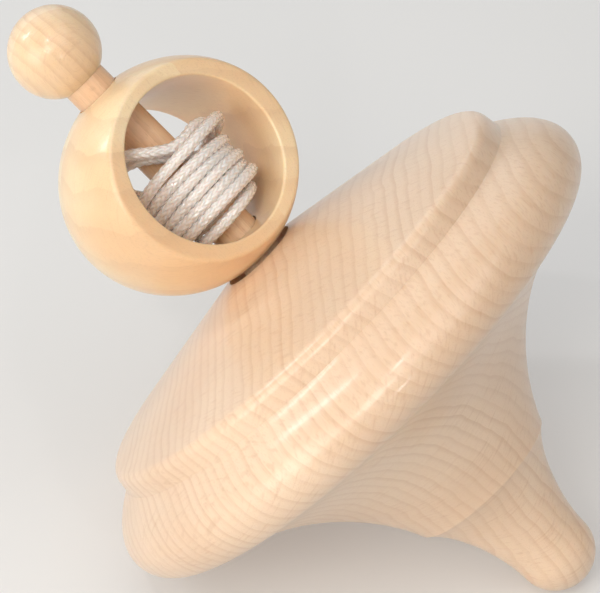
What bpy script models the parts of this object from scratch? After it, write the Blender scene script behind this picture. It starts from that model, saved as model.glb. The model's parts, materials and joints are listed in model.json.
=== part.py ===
"""A turned wooden spinning top that is started by pulling a cord.

The top lies on its side on the plane z = 0, on the rim of its disc and on its tip. It is modelled
upright, with the tip at the origin and the spin axis along +Z, and an empty then lays it down.
"""

import math

import bmesh
import bpy
from mathutils import Matrix, Vector

MM = 0.001

# Driving dimensions, in millimetres.
GAP = 0.3
STEM_DIAMETER = 8.0
STEM_BOTTOM = 60.0
STEM_IN_KNOB = 8.5
KNOB_DIAMETER = 16.0
KNOB_CENTRE = 130.6
CORD_DIAMETER = 2.2
CORD_HOLE_DIAMETER = 2.8
CORD_HOLE_BELOW_RING = 1.4

# The body, from its rounded nose up. RIM is the round bead that runs round the disc.
NOSE_RADIUS = 7.2
ARRIS_RADIUS = 14.6
ARRIS_HEIGHT = 26.2
RIM_CENTRE_RADIUS = 46.7
RIM_CENTRE_HEIGHT = 59.3
RIM_BEAD_RADIUS = 5.7
GROOVE_RADIUS = 44.7
GROOVE_HEIGHT = 68.6
SHOULDER_RADIUS = 44.1
SHOULDER_HEIGHT = 72.6
SHOULDER_ROUNDING = 1.6
RECESS_RADIUS = 7.0
RECESS_HEIGHT = 81.4
RECESS_DEPTH = 3.0
RECESS_COVE = 1.6

# The handles of the curves between them, as (radius, height): up the foot, up the cone and from the
# rim up to the groove.
FOOT_HANDLES = ((7.2, 13.8), (10.5, 22.8))
CONE_HANDLES = ((14.7, 26.4), (21.6, 46.9))
RIM_TOP_HANDLES = ((50.5, 65.2), (46.5, 66.8))

# The grip ring is a slightly flattened ball with two flat faces and a large hole across it.
RING_CENTRE = 100.9
RING_RADIUS = 21.1
RING_HALF_HEIGHT = 19.8
RING_HALF_WIDTH = 10.75
WINDOW_RADIUS = 14.7
WINDOW_TURN = math.radians(-17.3)

# The turns of cord on the stem, as (height above the ring's centre, outside radius) for the whole
# winding, and three loose turns as (across, out, up) from the ring's centre. Out is the direction at
# the angle CORD_TURN round the stem. The winding lies askew: WINDING_SKEW is how much it climbs
# outwards, at its lowest and at its highest point.
WINDING_OUTLINE = [(-10.6, 5.6), (-10.5, 7.4), (-9.7, 8.7), (-8.4, 10.2), (-2.2, 10.3), (-1.2, 9.6),
                   (-0.9, 8.0)]
WINDING_SKEW = (0.05, 0.25)
INNER_TURN = [(2.4, 5.5, 2.7), (-0.8, 5.6, 5.7), (-3.4, 4.8, 7.4), (-6.2, 2.6, 8.0), (-8.0, -0.4, 6.8),
              (-8.2, -2.8, 3.8), (-7.0, -4.4, 1.2), (-4.4, -6.0, -0.6)]
MIDDLE_TURN = [(8.4, -2.8, 0.8), (9.4, 0.6, 3.2), (7.8, 3.6, 4.5), (5.2, 6.0, 4.5), (2.4, 7.3, 5.0),
               (-0.6, 7.6, 7.0), (-3.6, 6.6, 9.2), (-7.0, 4.2, 10.0), (-9.8, 0.8, 8.2), (-10.8, -2.6, 4.6),
               (-9.3, -5.6, 1.2)]
OUTER_TURN = [(11.0, -3.2, 1.2), (11.7, -0.6, 2.3), (10.2, 4.4, 3.1), (6.3, 8.3, 3.4), (1.6, 9.9, 3.4),
              (-3.4, 9.3, 3.0)]
CORD_TURN = math.radians(-46.2)

# The sides of a turned piece, and how far a cutter reaches past what it cuts.
TURNED_SEGMENTS = 48
SMALL_SEGMENTS = 32
PAST = 60.0


def clear_scene():
    for old in list(bpy.data.objects):
        bpy.data.objects.remove(old, do_unlink=True)


def wood(name, colour, roughness):
    material = bpy.data.materials.new(name)
    material.use_nodes = True
    shader = material.node_tree.nodes["Principled BSDF"]
    shader.inputs["Base Color"].default_value = (*colour, 1.0)
    shader.inputs["Roughness"].default_value = roughness
    shader.inputs["Metallic"].default_value = 0.0
    return material


def arc(centre, radius, start, end, steps):
    """Points (radius, height) on an arc, by its angles in degrees."""
    points = []
    for step in range(steps + 1):
        angle = math.radians(start + (end - start) * step / steps)
        points.append((centre[0] + radius * math.cos(angle), centre[1] + radius * math.sin(angle)))
    return points


def bezier(start, start_handle, end_handle, end, steps):
    """Points on a cubic curve, without the first one, which ends the stretch before it."""
    points = []
    for step in range(1, steps + 1):
        t = step / steps
        weights = ((1 - t) ** 3, 3 * t * (1 - t) ** 2, 3 * t * t * (1 - t), t**3)
        corners = (start, start_handle, end_handle, end)
        points.append(tuple(sum(w * c[axis] for w, c in zip(weights, corners)) for axis in (0, 1)))
    return points


def body_outline():
    """The body's outside as (radius, height), from the point of the nose to the edge of its recess."""
    arris = (ARRIS_RADIUS, ARRIS_HEIGHT)
    groove = (GROOVE_RADIUS, GROOVE_HEIGHT)
    nose = arc((0.0, NOSE_RADIUS), NOSE_RADIUS, -90.0, 0.0, 8)
    foot = bezier(nose[-1], *FOOT_HANDLES, arris, 8)
    rim = arc((RIM_CENTRE_RADIUS, RIM_CENTRE_HEIGHT), RIM_BEAD_RADIUS, -76.0, 22.0, 10)
    cone = bezier(arris, *CONE_HANDLES, rim[0], 12)
    above_rim = bezier(rim[-1], *RIM_TOP_HANDLES, groove, 5)
    corner = Vector((SHOULDER_RADIUS, SHOULDER_HEIGHT))
    edge = Vector((RECESS_RADIUS, RECESS_HEIGHT))
    wall_end = corner + (Vector(groove) - corner).normalized() * SHOULDER_ROUNDING
    face_start = corner + (edge - corner).normalized() * SHOULDER_ROUNDING
    shoulder = [tuple(wall_end)] + bezier(wall_end, wall_end.lerp(corner, 0.6),
                                          face_start.lerp(corner, 0.6), face_start, 4)
    return nose + foot + cone + rim[1:] + above_rim + shoulder + [tuple(edge)]


def lathe(name, outline, segments, material):
    """A solid turned round +Z from an outline of (radius, height), which starts and ends on the axis
    or closes on itself."""
    mesh = bpy.data.meshes.new(name)
    shape = bmesh.new()
    rings = []
    for radius, height in outline:
        if radius < 1e-6:
            rings.append([shape.verts.new((0.0, 0.0, height * MM))])
            continue
        ring = []
        for segment in range(segments):
            angle = 2.0 * math.pi * segment / segments
            across = radius * math.cos(angle)
            along = radius * math.sin(angle)
            ring.append(shape.verts.new((across * MM, along * MM, height * MM)))
        rings.append(ring)
    closed = len(rings[0]) > 1
    pairs = list(zip(rings, rings[1:] + rings[:1])) if closed else list(zip(rings, rings[1:]))
    for lower, upper in pairs:
        for segment in range(segments):
            following = (segment + 1) % segments
            corners = [lower[segment % len(lower)], lower[following % len(lower)],
                       upper[following % len(upper)], upper[segment % len(upper)]]
            shape.faces.new(list(dict.fromkeys(corners)))
    bmesh.ops.recalc_face_normals(shape, faces=shape.faces)
    shape.to_mesh(mesh)
    shape.free()
    mesh.shade_smooth()
    mesh.set_sharp_from_angle(angle=math.radians(35.0))
    mesh.materials.append(material)
    solid = bpy.data.objects.new(name, mesh)
    bpy.context.scene.collection.objects.link(solid)
    return solid


def rod_cutter(name, radius, length, centre, rotation):
    """A cylinder that cuts a hole: length along its own Z, at centre, in millimetres."""
    half = length / 2.0
    outline = [(0.0, -half), (radius, -half), (radius, half), (0.0, half)]
    cutter = lathe(name, outline, SMALL_SEGMENTS, bpy.data.materials["cutter"])
    return place_cutter(cutter, centre, rotation)


def slab_cutter(name, size, centre):
    """A box that cuts a flat face: its size and centre in millimetres."""
    mesh = bpy.data.meshes.new(name)
    shape = bmesh.new()
    bmesh.ops.create_cube(shape, size=1.0, matrix=Matrix.Diagonal((*(side * MM for side in size), 1.0)))
    shape.to_mesh(mesh)
    shape.free()
    cutter = bpy.data.objects.new(name, mesh)
    bpy.context.scene.collection.objects.link(cutter)
    return place_cutter(cutter, centre, (0.0, 0.0, 0.0))


def place_cutter(cutter, centre, rotation):
    cutter.location = [value * MM for value in centre]
    cutter.rotation_euler = rotation
    cutter.hide_render = True
    cutter.display_type = "WIRE"
    return cutter


def cut(solid, cutter):
    """Cuts the cutter out of the solid, and moves the cutter with it."""
    modifier = solid.modifiers.new("cut_" + cutter.name, "BOOLEAN")
    modifier.operation = "DIFFERENCE"
    modifier.solver = "EXACT"
    modifier.object = cutter
    cutter.parent = solid
    cutter.matrix_parent_inverse = Matrix.Identity(4)


def make_top_body(material):
    """The disc with its cone and foot, turned from one block, with a socket for the stem."""
    socket_radius = STEM_DIAMETER / 2.0 + GAP
    floor = RECESS_HEIGHT - RECESS_DEPTH
    cove_start = (RECESS_RADIUS, floor + RECESS_COVE / 2.0)
    cove_end = (RECESS_RADIUS - RECESS_COVE / 2.0, floor)
    recess = bezier((RECESS_RADIUS, RECESS_HEIGHT), cove_start, cove_end,
                    (RECESS_RADIUS - RECESS_COVE, floor), 4)
    socket = [(socket_radius, floor), (socket_radius, STEM_BOTTOM - GAP), (0.0, STEM_BOTTOM - GAP)]
    return lathe("top_body", body_outline() + recess + socket, TURNED_SEGMENTS, material)


def make_stem(material):
    """The dowel, with a small hole across it that the cord is threaded through."""
    radius = STEM_DIAMETER / 2.0
    chamfer = 0.5
    top = KNOB_CENTRE - KNOB_DIAMETER / 2.0 + STEM_IN_KNOB
    outline = [(0.0, STEM_BOTTOM), (radius - chamfer, STEM_BOTTOM), (radius, STEM_BOTTOM + chamfer),
               (radius, top - chamfer), (radius - chamfer, top), (0.0, top)]
    stem = lathe("stem", outline, SMALL_SEGMENTS, material)
    hole = rod_cutter("cord_hole_cutter", CORD_HOLE_DIAMETER / 2.0, PAST,
                      (0.0, 0.0, RING_CENTRE - CORD_HOLE_BELOW_RING), (0.0, math.pi / 2.0, CORD_TURN))
    cut(stem, hole)
    return stem


def make_ball_knob(material):
    """The ball at the end of the stem, with the blind hole that the stem is glued in."""
    radius = KNOB_DIAMETER / 2.0
    bore = STEM_DIAMETER / 2.0 + GAP
    mouth = math.degrees(math.acos(bore / radius))
    ball = arc((0.0, KNOB_CENTRE), radius, -mouth, 90.0, 14)
    ball[-1] = (0.0, KNOB_CENTRE + radius)
    bore_end = KNOB_CENTRE - radius + STEM_IN_KNOB + GAP
    return lathe("ball_knob", ball[::-1] + [(bore, bore_end), (0.0, bore_end)], SMALL_SEGMENTS, material)


def make_grip_ring(material):
    """The ring that is held while the cord is pulled. Its centre is its object's origin."""
    steps = 20
    angles = [math.pi * (step / steps - 0.5) for step in range(steps + 1)]
    outline = [(RING_RADIUS * math.cos(angle), RING_HALF_HEIGHT * math.sin(angle)) for angle in angles]
    outline[0] = (0.0, -RING_HALF_HEIGHT)
    outline[-1] = (0.0, RING_HALF_HEIGHT)
    ring = lathe("grip_ring", outline, TURNED_SEGMENTS, material)
    middle = (0.0, 0.0, 0.0)
    for side, face in ((1.0, "front"), (-1.0, "back")):
        centre = (side * (RING_HALF_WIDTH + PAST / 2.0), 0.0, 0.0)
        cut(ring, slab_cutter(face + "_face_cutter", (PAST, PAST, PAST), centre))
    cut(ring, rod_cutter("window_cutter", WINDOW_RADIUS, PAST, middle, (0.0, math.pi / 2.0, 0.0)))
    cut(ring, rod_cutter("stem_hole_cutter", STEM_DIAMETER / 2.0 + GAP, PAST, middle, (0.0, 0.0, 0.0)))
    ring.location = (0.0, 0.0, RING_CENTRE * MM)
    ring.rotation_euler = (0.0, 0.0, WINDOW_TURN)
    return ring


def make_cord_winding(material):
    """The outer shape of the cord that is wound on the stem, inside the ring."""
    inside = STEM_DIAMETER / 2.0 + GAP
    outline = [(radius, height) for height, radius in WINDING_OUTLINE]
    outline.append((inside, outline[-1][1]))
    outline.append((inside, outline[0][1]))
    winding = lathe("cord_winding", outline, SMALL_SEGMENTS, material)
    lowest, highest = outline[-1][1], outline[-2][1]
    for vertex in winding.data.vertices:
        share = (vertex.co.z / MM - lowest) / (highest - lowest)
        skew = WINDING_SKEW[0] + (WINDING_SKEW[1] - WINDING_SKEW[0]) * share
        vertex.co.z += skew * (vertex.co.x * math.cos(CORD_TURN) + vertex.co.y * math.sin(CORD_TURN))
    winding.location = (0.0, 0.0, RING_CENTRE * MM)
    return winding


def smooth_route(points, per_stretch):
    """Points on the Catmull-Rom curve through the route's own points."""
    route = [Vector(point) for point in points]
    route = [2.0 * route[0] - route[1]] + route + [2.0 * route[-1] - route[-2]]
    smooth = []
    for before, start, end, after in zip(route, route[1:], route[2:], route[3:]):
        for step in range(per_stretch):
            t = step / per_stretch
            smooth.append(0.5 * (2.0 * start + (end - before) * t
                                 + (2.0 * before - 5.0 * start + 4.0 * end - after) * t * t
                                 + (3.0 * start - before - 3.0 * end + after) * t**3))
    smooth.append(route[-2])
    return smooth


def make_cord_turn(name, points, material):
    """A tube along a smooth curve through the points of one loose turn."""
    curve = bpy.data.curves.new(name, "CURVE")
    curve.dimensions = "3D"
    curve.bevel_depth = CORD_DIAMETER / 2.0 * MM
    curve.bevel_resolution = 2
    curve.use_fill_caps = True
    turn = Matrix.Rotation(CORD_TURN, 4, "Z")
    route = smooth_route(points, 4)
    spline = curve.splines.new("POLY")
    spline.points.add(len(route) - 1)
    for point, (across, out, up) in zip(spline.points, route):
        point.co = (*(turn @ Vector((out, across, up + RING_CENTRE)) * MM), 1.0)
    curve.materials.append(material)
    loose_turn = bpy.data.objects.new(name, curve)
    bpy.context.scene.collection.objects.link(loose_turn)
    return loose_turn


def lay_down(pieces):
    """Parents the pieces to an empty that lays the upright top on its rim and its nose, and puts the
    middle of what is not cord over the origin."""
    across = Vector((RIM_CENTRE_RADIUS, RIM_CENTRE_HEIGHT - NOSE_RADIUS))
    lean = math.atan2(across.x, across.y) + math.asin((RIM_BEAD_RADIUS - NOSE_RADIUS) / across.length)
    frame = bpy.data.objects.new("lying_frame", None)
    bpy.context.scene.collection.objects.link(frame)
    frame.rotation_euler = (0.0, lean - math.pi / 2.0, 0.0)
    for piece in pieces:
        piece.parent = frame
    bpy.context.view_layer.update()
    evaluated = bpy.context.evaluated_depsgraph_get()
    corners = []
    for piece in pieces:
        if not piece.name.startswith("cord"):
            solid = piece.evaluated_get(evaluated)
            corners += [solid.matrix_world @ vertex.co for vertex in solid.data.vertices]
    middle = [(min(c[axis] for c in corners) + max(c[axis] for c in corners)) / 2.0 for axis in (0, 1)]
    frame.location = (-middle[0], -middle[1], -min(corner.z for corner in corners))


def main():
    clear_scene()
    wood("cutter", (0.5, 0.5, 0.5), 0.5)
    beech = wood("beech", (0.82, 0.62, 0.44), 0.42)
    dowel = wood("beech_dowel", (0.80, 0.54, 0.34), 0.48)
    maple = wood("pale_maple", (0.90, 0.66, 0.38), 0.36)
    cord = wood("white_cord", (0.86, 0.82, 0.76), 0.55)
    lay_down([
        make_top_body(beech),
        make_stem(dowel),
        make_ball_knob(maple),
        make_grip_ring(maple),
        make_cord_winding(cord),
        make_cord_turn("cord_inner_turn", INNER_TURN, cord),
        make_cord_turn("cord_middle_turn", MIDDLE_TURN, cord),
        make_cord_turn("cord_outer_turn", OUTER_TURN, cord),
    ])


main()
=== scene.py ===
"""The looks of the wooden spinning top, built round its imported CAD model.

Every piece is modelled upright in millimetres, with the tip at the origin and the spin axis along
+Z, as the CAD is, and LYING then takes its mesh to where the CAD lies. The shaders undo that, so the
wood's grain is set out in the upright frame too.
"""

import json
import math

import bmesh
import bpy
import numpy as np
from mathutils import Matrix, Vector


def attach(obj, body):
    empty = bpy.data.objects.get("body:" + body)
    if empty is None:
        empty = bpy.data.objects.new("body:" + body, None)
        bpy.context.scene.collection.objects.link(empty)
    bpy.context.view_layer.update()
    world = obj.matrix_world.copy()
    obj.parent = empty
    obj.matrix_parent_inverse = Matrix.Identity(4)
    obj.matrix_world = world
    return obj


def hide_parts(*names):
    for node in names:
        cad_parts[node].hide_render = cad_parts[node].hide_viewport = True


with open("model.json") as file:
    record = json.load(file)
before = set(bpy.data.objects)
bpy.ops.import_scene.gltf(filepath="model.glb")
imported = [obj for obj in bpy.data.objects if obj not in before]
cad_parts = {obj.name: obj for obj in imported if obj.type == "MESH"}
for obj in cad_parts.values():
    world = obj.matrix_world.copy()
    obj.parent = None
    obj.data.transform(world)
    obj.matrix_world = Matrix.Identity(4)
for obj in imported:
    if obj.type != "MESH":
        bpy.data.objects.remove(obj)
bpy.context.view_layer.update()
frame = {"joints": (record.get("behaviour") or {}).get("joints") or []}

MM = 0.001

# Driving dimensions, in millimetres.
STEM_DIAMETER = 8.0
STEM_BOTTOM = 60.0
STEM_IN_KNOB = 8.5
KNOB_DIAMETER = 16.0
KNOB_CENTRE = 130.6
CORD_DIAMETER = 2.2
CORD_HOLE_DIAMETER = 2.8
CORD_HOLE_BELOW_RING = 1.4

NOSE_RADIUS = 7.2
ARRIS_RADIUS = 14.6
ARRIS_HEIGHT = 26.2
RIM_CENTRE_RADIUS = 46.7
RIM_CENTRE_HEIGHT = 59.3
RIM_BEAD_RADIUS = 5.7
GROOVE_RADIUS = 44.7
GROOVE_HEIGHT = 68.6
SHOULDER_RADIUS = 44.1
SHOULDER_HEIGHT = 72.6
SHOULDER_ROUNDING = 1.6
RECESS_RADIUS = 7.0
RECESS_HEIGHT = 81.4
RECESS_DEPTH = 3.0

# The handles of the body's free curves, as (radius, height).
FOOT_HANDLES = ((7.2, 13.8), (10.5, 22.8))
CONE_HANDLES = ((14.7, 26.4), (21.6, 46.9))
RIM_TOP_HANDLES = ((50.5, 65.2), (46.5, 66.8))

RING_CENTRE = 100.9
RING_RADIUS = 21.1
RING_HALF_HEIGHT = 19.8
RING_HALF_WIDTH = 10.75
WINDOW_RADIUS = 14.7
WINDOW_TURN = math.radians(-17.3)
OUTER_EDGE = 0.6
INNER_EDGE = 0.45

CORD_TURN = math.radians(-46.2)

# The cord's loose turns round the stem, as (across, out, up) from the ring's centre: the inner,
# the middle and the outer one. Out is the direction at the angle CORD_TURN round the stem.
LOOSE_TURNS = [
    (2.8, -6.7, -3.25), (5.2, -5.0, -2.75), (7.1, -1.2, -1.7), (6.6, 2.4, -0.8), (4.6, 4.7, 0.6),
    (2.4, 5.5, 2.7), (-0.8, 5.6, 5.7), (-3.4, 4.8, 7.4), (-6.2, 2.6, 8.0), (-8.0, -0.4, 6.8),
    (-8.2, -2.8, 3.8), (-7.0, -4.4, 1.2), (-4.4, -6.0, -0.6), (-0.2, -7.3, -1.4), (4.6, -6.1, -1.3),

    (8.4, -2.8, 0.8), (9.4, 0.6, 3.2), (7.8, 3.6, 4.5), (5.2, 6.0, 4.5), (2.4, 7.3, 5.0),
    (-0.6, 7.6, 7.0), (-3.6, 6.6, 9.2), (-7.0, 4.2, 10.0), (-9.8, 0.8, 8.2), (-10.8, -2.6, 4.6),
    (-9.3, -5.6, 1.2), (-4.6, -8.6, -0.9), (1.2, -9.6, -1.4), (6.2, -8.2, -1.3),

    (9.3, -6.0, 0.0), (11.0, -3.2, 1.2), (11.7, -0.6, 2.3), (10.2, 4.4, 3.1), (6.3, 8.3, 3.4),
    (1.6, 9.9, 3.4), (-3.4, 9.3, 3.0), (-7.4, 6.3, 1.8),
]

# The braid: how many strands run each way round the cord, how far one goes in a turn round it, and
# how far the strands stand out.
STRANDS = 8
BRAID_PITCH = 12.0
BRAID_RELIEF = 0.28
BRAID_LIFT = 0.16
CORD_END_ROUNDING = 0.9

# The fit of the glued joints and of the ring on the stem, which are seen only as dark lines.
SOCKET_GAP = 0.1
KNOB_BORE_GAP = 0.05
KNOB_BORE_END_GAP = 0.3
RING_BORE_GAP = 0.3

# The softboxes: name, azimuth, elevation, distance, size, power and colour.
KEY_COLOUR = (1.0, 0.95, 0.86)
WHITE = (1.0, 1.0, 1.0)
SOFTBOXES = [
    ("front_softbox", -24.0, 18.0, 1.0, (0.62, 0.52), 3.6, KEY_COLOUR),
    ("upper_softbox", 4.0, 42.0, 1.0, (0.28, 0.28), 2.1, KEY_COLOUR),
    ("back_softbox", -130.0, 28.0, 1.1, (1.0, 0.9), 2.2, (0.82, 0.92, 1.0)),
    ("top_softbox", 50.0, 72.0, 1.0, (0.9, 0.9), 3.3, (1.0, 0.97, 0.93)),
    ("left_strip", -78.0, 31.0, 0.9, (0.06, 0.34), 1.3, WHITE),
    ("low_glint", 42.0, 25.0, 0.9, (0.04, 0.04), 0.35, WHITE),
    ("high_glint", -10.0, 62.0, 0.9, (0.04, 0.04), 0.45, WHITE),
]
SOFTBOX_AIM = Vector((0.0, 0.0, 0.04))

# The camera: what it looks at, from which side, how far off, and its lens.
CAMERA_AIM = Vector((-0.001338, -0.000177, 0.049049))
CAMERA_SIDE = (23.308, 39.437)
CAMERA_DISTANCE = 0.538789
CAMERA_LENS = 188.25
CAMERA_SENSOR = 36.0

# The colours that the wood's features lean towards.
LATE_WOOD = (0.60, 0.35, 0.20, 1.0)
RAY_FLECK = (0.60, 0.35, 0.21, 1.0)
PORE = (0.58, 0.36, 0.22, 1.0)

# The upright frame's place: the joints give the spin axis and the ring's centre.
joints = {joint["name"]: joint for joint in frame["joints"]}
spin_axis = Vector(joints["ring_turn"]["axis"]).normalized()
ring_centre = Vector(joints["ring_turn"]["pos_m"])
sideways = Vector((0.0, 1.0, 0.0))
LYING = Matrix((sideways.cross(spin_axis), sideways, spin_axis)).transposed().to_4x4()
LYING.translation = ring_centre - spin_axis * RING_CENTRE * MM


# ---------------------------------------------------------------- camera, floor and light

def direction(azimuth, elevation):
    """A unit vector by its angle from -Y towards +X and its height, in degrees."""
    turn = math.radians(azimuth)
    rise = math.radians(elevation)
    return Vector((math.sin(turn) * math.cos(rise), -math.cos(turn) * math.cos(rise), math.sin(rise)))


def make_camera():
    lens = bpy.data.cameras.new("camera")
    lens.lens = CAMERA_LENS
    lens.sensor_width = CAMERA_SENSOR
    camera = bpy.data.objects.new("camera", lens)
    bpy.context.scene.collection.objects.link(camera)
    away = direction(*CAMERA_SIDE)
    camera.location = CAMERA_AIM + away * CAMERA_DISTANCE
    camera.rotation_euler = away.to_track_quat("Z", "Y").to_euler()
    bpy.context.scene.camera = camera


def make_softbox(name, azimuth, elevation, distance, size, power, colour):
    """A rectangular area light that faces the top."""
    lamp = bpy.data.lights.new(name, "AREA")
    lamp.shape = "RECTANGLE"
    lamp.size, lamp.size_y = size
    lamp.energy = power
    lamp.color = colour
    softbox = bpy.data.objects.new(name, lamp)
    bpy.context.scene.collection.objects.link(softbox)
    away = direction(azimuth, elevation)
    softbox.location = away * distance + SOFTBOX_AIM
    softbox.rotation_euler = away.to_track_quat("Z", "Y").to_euler()


def make_studio():
    """A pale floor and world, a large warm softbox in front with a smaller one above it, weaker ones
    behind on the left and overhead, a narrow one on the left that draws the bright lines along the
    turned edges, and two small ones for the sparkle of the cord."""
    scene = bpy.context.scene
    scene.view_settings.view_transform = "Standard"
    world = bpy.data.worlds.new("studio")
    scene.world = world
    world.use_nodes = True
    background = world.node_tree.nodes["Background"]
    background.inputs["Color"].default_value = (1.0, 0.98, 0.95, 1.0)
    background.inputs["Strength"].default_value = 0.28
    for softbox in SOFTBOXES:
        make_softbox(*softbox)
    make_floor()


def make_floor():
    """A pale matt floor, a little brightened."""
    mesh = bpy.data.meshes.new("floor")
    shape = bmesh.new()
    bmesh.ops.create_grid(shape, x_segments=1, y_segments=1, size=3.0)
    shape.to_mesh(mesh)
    shape.free()
    floor = bpy.data.objects.new("floor", mesh)
    bpy.context.scene.collection.objects.link(floor)
    material = bpy.data.materials.new("floor")
    material.use_nodes = True
    shader = material.node_tree.nodes["Principled BSDF"]
    shader.inputs["Base Color"].default_value = (0.62, 0.62, 0.62, 1.0)
    shader.inputs["Roughness"].default_value = 0.9
    shader.inputs["Emission Color"].default_value = (1.0, 1.0, 1.0, 1.0)
    shader.inputs["Emission Strength"].default_value = 0.18
    mesh.materials.append(material)


# ---------------------------------------------------------------- shader nodes

def add(tree, kind, sockets=None, **settings):
    """A shader node, with its settings made and its sockets set or linked."""
    made = tree.nodes.new("ShaderNode" + kind)
    for name, value in settings.items():
        setattr(made, name, value)
    for name, value in (sockets or {}).items():
        if isinstance(value, bpy.types.NodeSocket):
            tree.links.new(value, made.inputs[name])
        else:
            made.inputs[name].default_value = value
    return made


def maths(tree, operation, *values, clamp=False):
    """The result of a Math node on the values, each a number or a socket."""
    made = add(tree, "Math", dict(enumerate(values)), operation=operation, use_clamp=clamp)
    return made.outputs[0]


def vectors(tree, operation, first, second=None, scale=None):
    """The vector that a Vector Math node makes."""
    sockets = {0: first}
    if second is not None:
        sockets[1] = second
    if scale is not None:
        sockets["Scale"] = scale
    return add(tree, "VectorMath", sockets, operation=operation).outputs["Vector"]


def noise(tree, vector, scale, detail=2.0, roughness=0.5):
    """Noise from 0 to 1 at a vector."""
    made = add(tree, "TexNoise", {"Vector": vector, "Scale": scale, "Detail": detail,
                                  "Roughness": roughness}, noise_dimensions="3D")
    return made.outputs["Fac"]


def ramp(tree, value, low, high, start=0.0, end=1.0, smooth=True):
    """The value from low to high taken to start to end, and held outside them."""
    made = add(tree, "MapRange", {"Value": value, "From Min": low, "From Max": high, "To Min": start,
                                  "To Max": end}, interpolation_type="SMOOTHSTEP" if smooth else "LINEAR")
    return made.outputs["Result"]


def mixed(tree, factor, first, second, blend="MIX"):
    """Two colours mixed."""
    made = add(tree, "Mix", {0: factor, 6: first, 7: second}, data_type="RGBA", blend_type=blend)
    return made.outputs[2]


def along_axes(tree, vector, axes):
    """How far a vector goes along each of the axes."""
    return [add(tree, "VectorMath", {0: vector, 1: axis}, operation="DOT_PRODUCT").outputs["Value"]
            for axis in axes]


def upright_place(tree):
    """The point's place in the upright frame, in millimetres."""
    coordinates = add(tree, "TexCoord").outputs["Object"]
    from_tip = vectors(tree, "SUBTRACT", coordinates, LYING.translation)
    axes = [LYING.col[axis].to_3d() / MM for axis in range(3)]
    return add(tree, "CombineXYZ", dict(enumerate(along_axes(tree, from_tip, axes)))).outputs[0]


def grain_space(tree, pith_point, pith_direction):
    """Where a point is in the tree that the piece was cut from, in millimetres: how far from the
    pith, how far round it, and how far along it."""
    along = Vector(pith_direction).normalized()
    side = along.orthogonal().normalized()
    place = vectors(tree, "SUBTRACT", upright_place(tree), pith_point)
    across, over, length = along_axes(tree, place, (side, along.cross(side), along))
    radius = maths(tree, "SQRT", maths(tree, "ADD", maths(tree, "MULTIPLY", across, across),
                                       maths(tree, "MULTIPLY", over, over)))
    round_it = maths(tree, "MULTIPLY", maths(tree, "ARCTAN2", over, across), 100.0)
    return radius, round_it, length


def wood(name, pith_point, pith_direction, ring_spacing, pale, dark, ring_line, fleck, roughness):
    """Lacquered wood: growth rings round its pith, rays and pores along its fibres, and slow
    changes of colour."""
    material = bpy.data.materials.new(name)
    material.use_nodes = True
    tree = material.node_tree
    shader = tree.nodes["Principled BSDF"]
    radius, round_it, length = grain_space(tree, pith_point, pith_direction)
    space = add(tree, "CombineXYZ", {0: radius, 1: round_it, 2: length}).outputs[0]

    slow = noise(tree, vectors(tree, "MULTIPLY", space, (0.035, 0.03, 0.012)), 1.0, 2.0)
    wobble = noise(tree, vectors(tree, "MULTIPLY", space, (0.06, 0.08, 0.02)), 1.0, 2.0)
    fine_wobble = noise(tree, vectors(tree, "MULTIPLY", space, (0.3, 0.35, 0.06)), 1.0, 1.0)
    rings = maths(tree, "ADD", maths(tree, "DIVIDE", radius, ring_spacing),
                  maths(tree, "ADD", maths(tree, "MULTIPLY", wobble, 1.3),
                        maths(tree, "MULTIPLY", fine_wobble, 0.22)))
    year = maths(tree, "FRACT", rings)
    late = maths(tree, "MULTIPLY", ramp(tree, year, 0.45, 0.92), ramp(tree, year, 0.94, 1.0, 1.0, 0.0))
    number = add(tree, "CombineXYZ", {0: maths(tree, "FLOOR", rings)}).outputs[0]
    yearly = noise(tree, number, 0.37, 1.0)
    late = maths(tree, "MULTIPLY", late, ramp(tree, yearly, 0.3, 0.7, 0.35, 1.0))

    flecks = noise(tree, vectors(tree, "MULTIPLY", space, (0.16, 2.6, 0.62)), 1.0, 2.0)
    flecks = ramp(tree, flecks, 0.52, 0.76)
    pores = noise(tree, vectors(tree, "MULTIPLY", space, (5.0, 5.0, 0.22)), 1.0, 2.0)
    pores = ramp(tree, pores, 0.50, 0.75)

    colour = mixed(tree, ramp(tree, slow, 0.30, 0.70), pale, dark)
    colour = mixed(tree, maths(tree, "MULTIPLY", late, ring_line), colour, LATE_WOOD)
    colour = mixed(tree, maths(tree, "MULTIPLY", flecks, fleck), colour, RAY_FLECK)
    colour = mixed(tree, maths(tree, "MULTIPLY", pores, 0.24), colour, PORE)
    tree.links.new(colour, shader.inputs["Base Color"])

    rough = maths(tree, "ADD", roughness, maths(tree, "MULTIPLY", pores, 0.10))
    tree.links.new(rough, shader.inputs["Roughness"])
    relief = maths(tree, "ADD", maths(tree, "MULTIPLY", pores, -0.6), maths(tree, "MULTIPLY", late, -0.5))
    bump = add(tree, "Bump", {"Height": relief, "Strength": 0.25, "Distance": 0.00008})
    tree.links.new(bump.outputs["Normal"], shader.inputs["Normal"])
    shader.inputs["Subsurface Weight"].default_value = 0.3
    shader.inputs["Subsurface Radius"].default_value = (1.0, 0.6, 0.35)
    shader.inputs["Subsurface Scale"].default_value = 0.002
    shader.inputs["Coat Weight"].default_value = 0.5
    shader.inputs["Coat Roughness"].default_value = 0.18
    return material


# ---------------------------------------------------------------- outlines and solids

def arc(centre, radius, start, end, steps):
    """Points (radius, height) on an arc, by its angles in degrees."""
    points = []
    for step in range(steps + 1):
        angle = math.radians(start + (end - start) * step / steps)
        points.append((centre[0] + radius * math.cos(angle), centre[1] + radius * math.sin(angle)))
    return points


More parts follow.
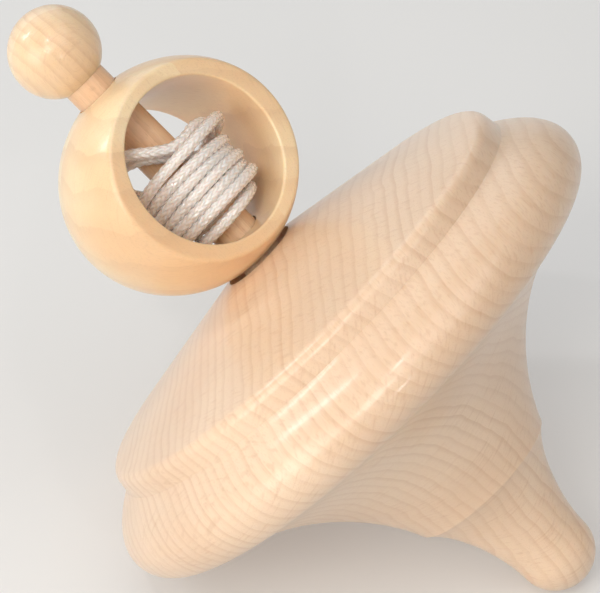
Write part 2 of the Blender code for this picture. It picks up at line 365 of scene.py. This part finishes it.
def bezier(start, start_handle, end_handle, end, steps):
    """Points on a cubic curve, without the first one, which ends the stretch before it."""
    points = []
    for step in range(1, steps + 1):
        t = step / steps
        weights = ((1 - t) ** 3, 3 * t * (1 - t) ** 2, 3 * t * t * (1 - t), t**3)
        corners = (start, start_handle, end_handle, end)
        points.append(tuple(sum(w * c[axis] for w, c in zip(weights, corners)) for axis in (0, 1)))
    return points


def line(start, end, steps):
    """Points on a straight line, without the first one."""
    return [tuple(Vector(start).lerp(Vector(end), step / steps)) for step in range(1, steps + 1)]


def lathe(name, outline, segments, material):
    """A piece turned round +Z from an outline of (radius, height) that starts and ends on the axis."""
    mesh = bpy.data.meshes.new(name)
    shape = bmesh.new()
    rings = []
    for radius, height in outline:
        if radius < 1e-6:
            rings.append([shape.verts.new((0.0, 0.0, height * MM))])
            continue
        ring = []
        for segment in range(segments):
            angle = 2.0 * math.pi * segment / segments
            across = radius * math.cos(angle)
            over = radius * math.sin(angle)
            ring.append(shape.verts.new((across * MM, over * MM, height * MM)))
        rings.append(ring)
    for lower, upper in zip(rings, rings[1:]):
        for segment in range(segments):
            following = (segment + 1) % segments
            corners = [lower[segment % len(lower)], lower[following % len(lower)],
                       upper[following % len(upper)], upper[segment % len(upper)]]
            shape.faces.new(list(dict.fromkeys(corners)))
    bmesh.ops.recalc_face_normals(shape, faces=shape.faces)
    shape.to_mesh(mesh)
    shape.free()
    mesh.shade_smooth()
    mesh.set_sharp_from_angle(angle=math.radians(30.0))
    mesh.materials.append(material)
    piece = bpy.data.objects.new(name, mesh)
    bpy.context.scene.collection.objects.link(piece)
    return piece


def fit(piece, body, slot, *nodes):
    """Lays the upright piece down, and has it ride with a body and stand for CAD nodes."""
    piece.data.transform(LYING @ piece.matrix_world)
    piece.matrix_world = Matrix.Identity(4)
    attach(piece, body)
    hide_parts(*nodes)


def make_top_body(material):
    arris = (ARRIS_RADIUS, ARRIS_HEIGHT)
    groove = (GROOVE_RADIUS, GROOVE_HEIGHT)
    nose = arc((0.0, NOSE_RADIUS), NOSE_RADIUS, -90.0, 0.0, 24)
    nose[0] = (0.0, 0.0)
    foot = bezier(nose[-1], *FOOT_HANDLES, arris, 32)
    rim = arc((RIM_CENTRE_RADIUS, RIM_CENTRE_HEIGHT), RIM_BEAD_RADIUS, -76.0, 22.0, 36)
    cone = bezier(arris, *CONE_HANDLES, rim[0], 64)
    above_rim = bezier(rim[-1], *RIM_TOP_HANDLES, groove, 20)
    corner = Vector((SHOULDER_RADIUS, SHOULDER_HEIGHT))
    edge = Vector((RECESS_RADIUS, RECESS_HEIGHT))
    wall_end = corner + (Vector(groove) - corner).normalized() * SHOULDER_ROUNDING
    face_start = corner + (edge - corner).normalized() * SHOULDER_ROUNDING
    shoulder = [tuple(wall_end)] + bezier(wall_end, wall_end.lerp(corner, 0.6),
                                          face_start.lerp(corner, 0.6), face_start, 10)
    floor = RECESS_HEIGHT - RECESS_DEPTH
    recess = bezier(edge, (RECESS_RADIUS, floor + 0.8), (6.2, floor), (5.4, floor), 10)
    socket_radius = STEM_DIAMETER / 2.0 + SOCKET_GAP
    socket = [(socket_radius, floor), (socket_radius, STEM_BOTTOM), (0.0, STEM_BOTTOM)]
    outline = (nose + foot + cone + rim[1:] + above_rim + shoulder + line(face_start, edge, 24)
               + recess + socket)
    return lathe("turned_body", outline, 256, material)


def make_stem(material):
    radius = STEM_DIAMETER / 2.0
    chamfer = 0.5
    top = KNOB_CENTRE - KNOB_DIAMETER / 2.0 + STEM_IN_KNOB
    outline = [(0.0, STEM_BOTTOM), (radius - chamfer, STEM_BOTTOM), (radius, STEM_BOTTOM + chamfer)]
    outline += line((radius, STEM_BOTTOM + chamfer), (radius, top - chamfer), 60)
    outline += [(radius - chamfer, top), (0.0, top)]
    stem = lathe("dowel_stem", outline, 64, material)
    reach = STEM_DIAMETER
    hole_radius = CORD_HOLE_DIAMETER / 2.0
    hole = lathe("cord_hole", [(0.0, -reach), (hole_radius, -reach), (hole_radius, reach), (0.0, reach)],
                 48, material)
    hole.matrix_world = (Matrix.Translation((0.0, 0.0, (RING_CENTRE - CORD_HOLE_BELOW_RING) * MM))
                         @ Matrix.Rotation(CORD_TURN, 4, "Z") @ Matrix.Rotation(math.pi / 2.0, 4, "Y"))
    drill(stem, hole)
    return stem


def make_ball(material):
    radius = KNOB_DIAMETER / 2.0
    bore = STEM_DIAMETER / 2.0 + KNOB_BORE_GAP
    mouth = math.degrees(math.acos(bore / radius))
    ball = arc((0.0, KNOB_CENTRE), radius, -mouth, 90.0, 64)
    ball[-1] = (0.0, KNOB_CENTRE + radius)
    bore_end = KNOB_CENTRE - radius + STEM_IN_KNOB + KNOB_BORE_END_GAP
    return lathe("turned_ball", ball[::-1] + [(bore, bore_end), (0.0, bore_end)], 128, material)


def ring_section(angle):
    """The ring's section at an angle round its window: (distance from the window's axis, place along
    it), all the way round, with its four edges rounded."""
    def outside(along):
        squash = math.sqrt((math.cos(angle) / RING_RADIUS) ** 2 + (math.sin(angle) / RING_HALF_HEIGHT) ** 2)
        return math.sqrt(1.0 - (along / RING_RADIUS) ** 2) / squash

    half = RING_HALF_WIDTH
    section = []
    for step in range(41):
        along = (half - OUTER_EDGE) * (step / 20.0 - 1.0)
        section.append((outside(along), along))
    rim = outside(half)
    section += bezier(section[-1], (outside(half - 0.4 * OUTER_EDGE), half - 0.25 * OUTER_EDGE),
                      (rim - 0.3 * OUTER_EDGE, half), (rim - OUTER_EDGE, half), 6)
    section += line(section[-1], (WINDOW_RADIUS + INNER_EDGE, half), 6)
    section += bezier(section[-1], (WINDOW_RADIUS + 0.4 * INNER_EDGE, half),
                      (WINDOW_RADIUS, half - 0.4 * INNER_EDGE), (WINDOW_RADIUS, half - INNER_EDGE), 6)
    front = section[41:]
    section += line(section[-1], (WINDOW_RADIUS, -half + INNER_EDGE), 24)
    section += [(distance, -along) for distance, along in reversed(front[:-1])]
    return section


def make_ring(material):
    steps = 224
    shape = bmesh.new()
    loops = []
    for step in range(steps):
        angle = 2.0 * math.pi * step / steps
        loop = []
        for distance, along in ring_section(angle):
            point = Vector((along, distance * math.cos(angle), distance * math.sin(angle)))
            loop.append(shape.verts.new(point * MM))
        loops.append(loop)
    for loop, following in zip(loops, loops[1:] + loops[:1]):
        for index in range(len(loop)):
            after = (index + 1) % len(loop)
            shape.faces.new((loop[index], loop[after], following[after], following[index]))
    bmesh.ops.recalc_face_normals(shape, faces=shape.faces)
    mesh = bpy.data.meshes.new("turned_ring")
    shape.to_mesh(mesh)
    shape.free()
    mesh.materials.append(material)
    ring = bpy.data.objects.new("turned_ring", mesh)
    bpy.context.scene.collection.objects.link(ring)
    reach = RING_HALF_HEIGHT + 10.0
    radius = STEM_DIAMETER / 2.0 + RING_BORE_GAP
    outline = [(0.0, -reach), (radius, -reach), (radius, reach), (0.0, reach)]
    drill(ring, lathe("stem_hole", outline, 96, material))
    ring.matrix_world = (Matrix.Translation((0.0, 0.0, RING_CENTRE * MM))
                         @ Matrix.Rotation(WINDOW_TURN, 4, "Z"))
    return ring


def drill(piece, cutter):
    """Cuts the cutter out of the piece and removes it."""
    modifier = piece.modifiers.new("drilled", "BOOLEAN")
    modifier.operation = "DIFFERENCE"
    modifier.solver = "EXACT"
    modifier.object = cutter
    bpy.context.view_layer.update()
    evaluated = piece.evaluated_get(bpy.context.evaluated_depsgraph_get())
    mesh = bpy.data.meshes.new_from_object(evaluated)
    piece.modifiers.clear()
    piece.data = mesh
    bpy.data.objects.remove(cutter)
    mesh.shade_smooth()
    mesh.set_sharp_from_angle(angle=math.radians(30.0))


# ---------------------------------------------------------------- the cord

def wound_turns(radii, start_up, climb, tilts, start, end, first=None, crowding=0.0, slack=0.0):
    """Points of even turns round the stem, 16 to a turn, from start to end in turns: 0 is across and
    0.25 is out. The radius and the tilt go from the first to the second of their values. First is the
    (radius, up) that the turns ease away from, crowding has them stand out in turn at the back, and
    slack puts them a little out of true."""
    points = []
    count = round((end - start) * 16)
    for step in range(count + 1):
        done = step / count
        turns = (end - start) * done
        angle = 2.0 * math.pi * (start + turns)
        radius = radii[0] + (radii[1] - radii[0]) * done
        radius += crowding * math.sin(0.5 * angle - 0.25 * math.pi) + 0.6 * slack * math.sin(1.7 * angle)
        tilt = tilts[0] + (tilts[1] - tilts[0]) * done
        up = start_up + climb * turns + tilt * math.sin(angle) + slack * math.sin(2.3 * angle + 0.7)
        if first is not None:
            eased = min(1.0, turns / 0.4)
            eased *= eased * (3.0 - 2.0 * eased)
            radius = first[0] + (radius - first[0]) * eased
            up = first[1] + (up - first[1]) * eased
        points.append((radius * math.cos(angle), radius * math.sin(angle), up))
    return points


def smooth_route(points, per_stretch):
    """Points on the Catmull-Rom curve through the route's own points."""
    route = [Vector(point) for point in points]
    route = [2.0 * route[0] - route[1]] + route + [2.0 * route[-1] - route[-2]]
    smooth = []
    for before, start, end, after in zip(route, route[1:], route[2:], route[3:]):
        for step in range(per_stretch):
            t = step / per_stretch
            smooth.append(0.5 * (2.0 * start + (end - before) * t
                                 + (2.0 * before - 5.0 * start + 4.0 * end - after) * t * t
                                 + (3.0 * start - before - 3.0 * end + after) * t**3))
    smooth.append(route[-2])
    return smooth


def cord_route():
    """The cord's centre line as upright points: two tight layers on the stem, one down and one up,
    the three loose turns, and a last layer down, with its last turn drawn in below the others."""
    mouth = (STEM_DIAMETER / 2.0, -CORD_HOLE_BELOW_RING)
    route = wound_turns((5.15, 5.15), -1.7, -2.3, (0.3, 0.3), 0.25, 3.5, first=mouth)
    route += wound_turns((7.25, 7.25), -8.6, 1.97, (0.3, 1.2), 0.5625, 3.75, first=(5.2, -9.3))
    route += LOOSE_TURNS
    route += wound_turns((9.35, 9.2), -0.44, -1.675, (2.86, 1.11), 0.5, 5.5, crowding=0.5, slack=0.1)
    route += wound_turns((7.3, 7.3), -9.1, -2.2, (0.5, 0.4), 5.5625, 6.625, first=(9.2, -9.1))
    turn = Matrix.Rotation(CORD_TURN, 4, "Z")
    centre = Vector((0.0, 0.0, RING_CENTRE))
    return [centre + turn @ Vector((out, across, up)) for across, out, up in smooth_route(route, 10)]


def braid_height(around, along):
    """How far the braid's surface stands out, and where on its strand each point is: across the
    strand from its middle, and which strand. Each strand goes over two others and then under two."""
    twist = 2.0 * math.pi * STRANDS * along / BRAID_PITCH
    one_way = (STRANDS * around + twist) / (2.0 * math.pi)
    other_way = (STRANDS * around - twist) / (2.0 * math.pi)
    heights = []
    for own, crossing, sense in ((one_way, other_way, 1.0), (other_way, one_way, -1.0)):
        strand = np.round(own)
        across = own - strand
        over = sense * np.cos(0.5 * math.pi * (strand + crossing) - 0.25 * math.pi)
        heights.append((BRAID_RELIEF * np.sqrt(1.0 - 3.4 * across**2) + BRAID_LIFT * over, across, strand))
    (first, across, strand), (second, other_across, other_strand) = heights
    on_top = first > second
    side = np.where(on_top, across, other_across)
    number = np.where(on_top, strand, other_strand + 0.5)
    return np.where(on_top, first, second), side, number


def make_cord(material):
    """The whole cord as one braided tube with rounded ends. Returns it and its centre line."""
    step = 0.18
    sides = 48
    route = np.array(cord_route())
    places = np.concatenate(([0.0], np.cumsum(np.linalg.norm(np.diff(route, axis=0), axis=1))))
    length = places[-1]
    stations = np.linspace(0.0, length, round(length / step) + 1)
    centres = np.stack([np.interp(stations, places, route[:, axis]) for axis in range(3)], axis=1)
    ahead = np.gradient(centres, axis=0)
    ahead /= np.linalg.norm(ahead, axis=1)[:, None]

    side = np.cross(ahead[0], (0.0, 0.0, 1.0))
    sides_out = []
    for direction_ahead in ahead:
        side = side - direction_ahead * np.dot(side, direction_ahead)
        side /= np.linalg.norm(side)
        sides_out.append(side)
    first_side = np.array(sides_out)
    second_side = np.cross(ahead, first_side)

    around = np.arange(sides) * 2.0 * math.pi / sides
    grid_around, grid_along = np.meshgrid(around, stations)
    height, strand_across, strand_number = braid_height(grid_around, grid_along)
    core = CORD_DIAMETER / 2.0 - BRAID_RELIEF - BRAID_LIFT
    from_end = np.minimum(stations, length - stations)
    end_round = np.sqrt(1.0 - (1.0 - np.clip(from_end / CORD_END_ROUNDING, 0.02, 1.0)) ** 2)
    radius = (core + height) * end_round[:, None]
    points = (centres[:, None, :] + radius[:, :, None]
              * (np.cos(grid_around)[:, :, None] * first_side[:, None, :]
                 + np.sin(grid_around)[:, :, None] * second_side[:, None, :]))

    mesh = bpy.data.meshes.new("braided_cord")
    rings = len(stations)
    ring, place = np.meshgrid(np.arange(rings - 1), np.arange(sides), indexing="ij")
    after = (place + 1) % sides
    quads = np.stack((ring * sides + place, ring * sides + after,
                      (ring + 1) * sides + after, (ring + 1) * sides + place), axis=-1).reshape(-1, 4)
    faces = quads.tolist() + [list(range(sides))[::-1], list(range((rings - 1) * sides, rings * sides))]
    mesh.from_pydata((points.reshape(-1, 3) * MM).tolist(), [], faces)
    strand = mesh.attributes.new("strand", "FLOAT_VECTOR", "POINT")
    values = np.stack((strand_across, grid_along, strand_number), axis=-1)
    strand.data.foreach_set("vector", values.reshape(-1))
    mesh.shade_smooth()
    mesh.materials.append(material)
    cord = bpy.data.objects.new("braided_cord", mesh)
    bpy.context.scene.collection.objects.link(cord)
    return cord, centres


def satin_cord(name):
    """Shiny white satin strands along the braid. Their filament streaks give relief and, where near white,
    painted highlights. Whiter, glossier patches among pinker, rougher ones are painted sparkle. Each strand
    is darkened towards its edges as painted shade between the strands.
    """
    material = bpy.data.materials.new(name)
    material.use_nodes = True
    tree = material.node_tree
    shader = tree.nodes["Principled BSDF"]
    strand = add(tree, "Attribute", attribute_name="strand").outputs["Vector"]
    # Filament streaks: the relief of the bump, and near-white streaks in the colour that are painted
    # highlights.
    filament_relief_and_highlights = noise(tree, vectors(tree, "MULTIPLY", strand, (6.0, 0.6, 3.1)), 1.0, 2.0)
    # Patches along the strands: rougher and pinker where high, glossier and whiter where low. The whiter
    # colour is painted sparkle.
    patch_roughness_and_sparkle = noise(tree, vectors(tree, "MULTIPLY", strand, (2.2, 0.45, 3.1)), 1.0, 1.0)
    across = maths(tree, "ABSOLUTE", add(tree, "SeparateXYZ", {0: strand}).outputs[0])
    # Painted shade: a mask that darkens each strand towards its edges, where it dips between its
    # neighbours.
    edge = ramp(tree, across, 0.22, 0.48)
    # Painted highlights: the filament streaks run from pinkish white to near white.
    colour = mixed(tree, ramp(tree, filament_relief_and_highlights, 0.3, 0.7), (0.91, 0.82, 0.78, 1.0), (1.0, 0.99, 0.98, 1.0))
    # Painted sparkle: the colour is pinker where the patches are high and whiter where they are low.
    colour = mixed(tree, ramp(tree, patch_roughness_and_sparkle, 0.42, 0.62, 0.0, 0.8), colour, (0.92, 0.79, 0.73, 1.0))
    # Painted shade between the strands: each strand's edges are mixed towards brown.
    colour = mixed(tree, maths(tree, "MULTIPLY", edge, 0.5), colour, (0.74, 0.56, 0.48, 1.0))
    tree.links.new(colour, shader.inputs["Base Color"])
    rough = ramp(tree, patch_roughness_and_sparkle, 0.38, 0.62, 0.10, 0.32)
    tree.links.new(rough, shader.inputs["Roughness"])
    bump = add(tree, "Bump", {"Height": filament_relief_and_highlights, "Strength": 0.8, "Distance": 0.00008})
    tree.links.new(bump.outputs["Normal"], shader.inputs["Normal"])
    shader.inputs["IOR"].default_value = 1.8
    shader.inputs["Subsurface Weight"].default_value = 0.6
    shader.inputs["Subsurface Radius"].default_value = (1.0, 0.75, 0.62)
    shader.inputs["Subsurface Scale"].default_value = 0.0015
    shader.inputs["Coat Weight"].default_value = 1.0
    shader.inputs["Coat Roughness"].default_value = 0.07
    shader.inputs["Coat IOR"].default_value = 1.7
    shader.inputs["Sheen Weight"].default_value = 0.2
    shader.inputs["Sheen Roughness"].default_value = 0.4
    return material


def fit_cord(material):
    """Puts the cord in place. It leaves the stem at its small cross hole."""
    cord, centres = make_cord(material)
    fit(cord, "wound_cord", "white_cord", "cord_winding", "cord_inner_turn", "cord_middle_turn",
        "cord_outer_turn")


make_camera()
make_studio()

PITH_POINT = (-78.4, -53.8, 48.9)
PITH_DIRECTION = (-0.433, 0.512, 0.742)
beech = wood("beech", PITH_POINT, PITH_DIRECTION, 2.05, (0.88, 0.67, 0.49, 1.0),
             (0.80, 0.58, 0.41, 1.0), 0.34, 0.28, 0.40)
dowel = wood("beech_dowel", (15.0, 9.0, 0.0), (0.02, 0.03, 1.0), 1.9, (0.93, 0.68, 0.46, 1.0),
             (0.84, 0.55, 0.34, 1.0), 0.40, 0.50, 0.42)
ball_maple = wood("ball_maple", (32.0, 31.0, 130.0), (0.3, -0.3, 0.9), 1.9, (0.94, 0.77, 0.54, 1.0),
                  (0.88, 0.62, 0.39, 1.0), 0.30, 0.20, 0.34)
ring_maple = wood("ring_maple", (-24.0, -32.0, 62.0), (0.6, 0.4, -0.7), 6.0, (0.94, 0.76, 0.50, 1.0),
                  (0.88, 0.59, 0.34, 1.0), 0.24, 0.14, 0.34)

fit(make_top_body(beech), "spinner", "beech", "top_body")
fit(make_stem(dowel), "spinner", "beech_dowel", "stem")
fit(make_ball(ball_maple), "spinner", "pale_maple", "ball_knob")
fit(make_ring(ring_maple), "grip", "pale_maple", "grip_ring")
fit_cord(satin_cord("white_cord"))
